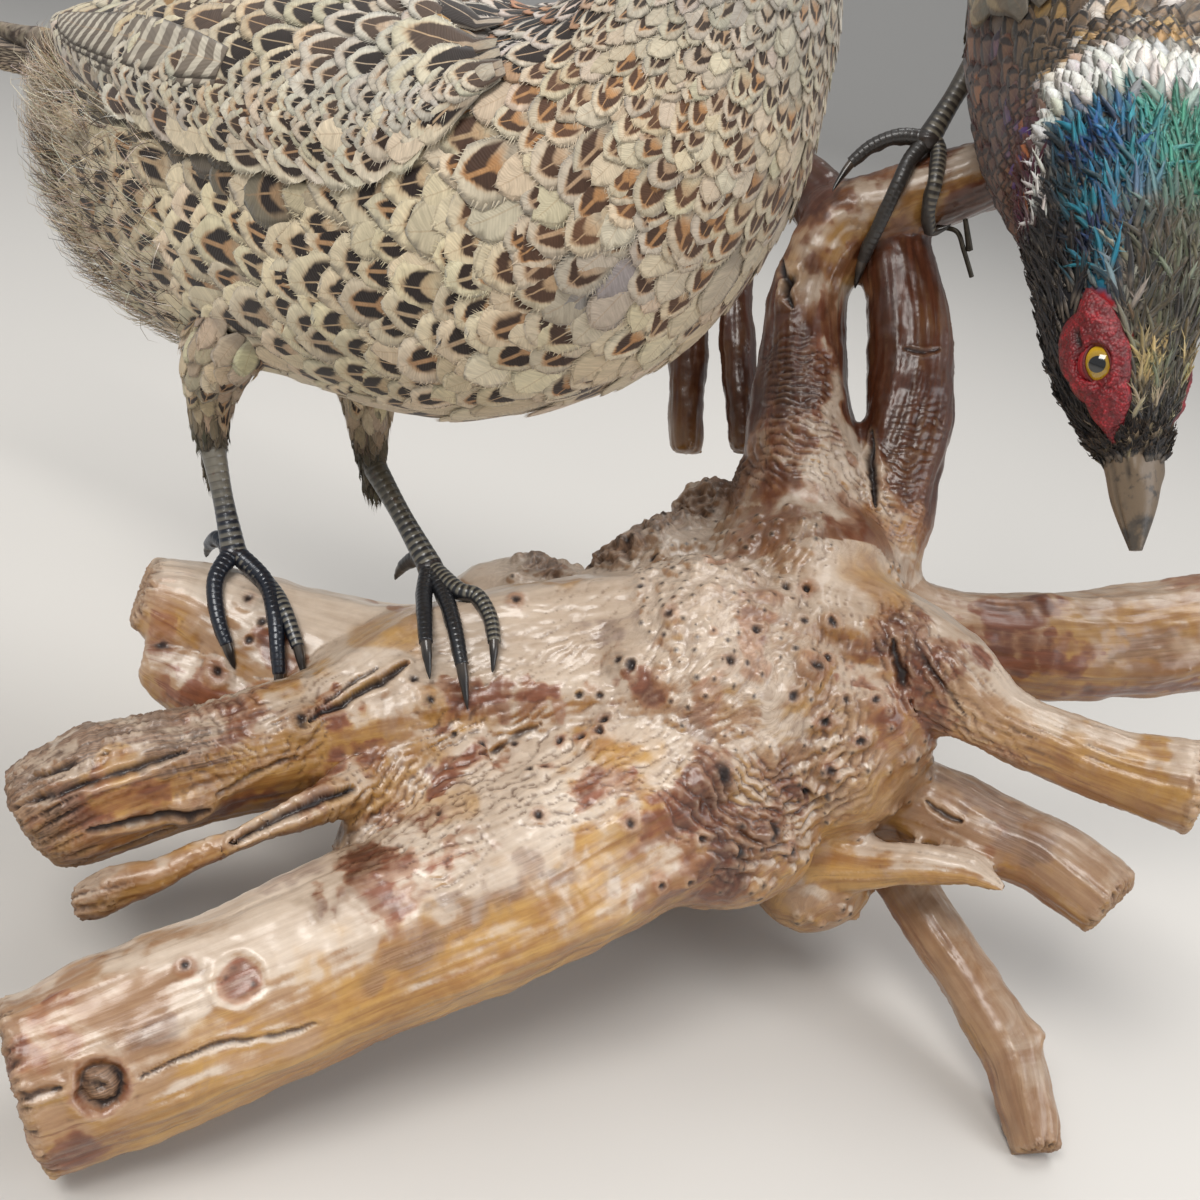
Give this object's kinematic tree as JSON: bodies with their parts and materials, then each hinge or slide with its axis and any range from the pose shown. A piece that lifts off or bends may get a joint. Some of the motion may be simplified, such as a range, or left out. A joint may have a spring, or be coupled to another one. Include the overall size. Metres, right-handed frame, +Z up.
{
  "type": "taxidermy pheasant hen on a driftwood mount with a cock",
  "caption": "Life-size taxidermy ring-necked pheasant hen standing on a varnished driftwood root, with a plainer cock leaning down from its high limb.",
  "frame": {"origin": "middle of the bounding box's bottom face, on the surface the driftwood rests on", "axes": "+Z up, +X along the root from the hen to the cock, +Y away from the viewer towards the root's back"},
  "size_m": [0.7361, 0.7081, 0.7356],
  "materials": {
    "driftwood": "satin varnish, pale tan tops, orange-brown undersides and dark red-brown crevices",
    "cock_plumage": "matt feathers: maroon breast, brown mantle, blue-green neck, white collar, red face wattle",
    "leg_wire": "dark annealed wire",
    "hen_eye": "glossy dark brown glass eye",
    "hen_claws": "glossy dark horn",
    "hen_bill": "satin grey-brown horn",
    "hen_legs": "scaled skin, grey-brown shanks and glossy black toes",
    "hen_plumage": "matt feathers, cream-buff with black-brown marks"
  },
  "bodies": {
    "root": {"driftwood_mount": "driftwood", "hen_trunk": "hen_plumage", "hen_neck": "hen_plumage", "hen_head": "hen_plumage", "hen_eye_left": "hen_eye", "hen_eye_right": "hen_eye", "hen_bill_upper": "hen_bill", "hen_bill_lower": "hen_bill", "hen_wing_left": "hen_plumage", "hen_wing_right": "hen_plumage", "hen_tail": "hen_plumage", "hen_thigh_left": "hen_plumage", "hen_foot_left": "hen_legs", "hen_claw_left_inner": "hen_claws", "hen_claw_left_middle": "hen_claws", "hen_claw_left_outer": "hen_claws", "hen_claw_left_hind": "hen_claws", "hen_thigh_right": "hen_plumage", "hen_foot_right": "hen_legs", "hen_claw_right_inner": "hen_claws", "hen_claw_right_middle": "hen_claws", "hen_claw_right_outer": "hen_claws", "hen_claw_right_hind": "hen_claws", "cock": "cock_plumage", "leg_wire": "leg_wire"}
  },
  "joints": []
}
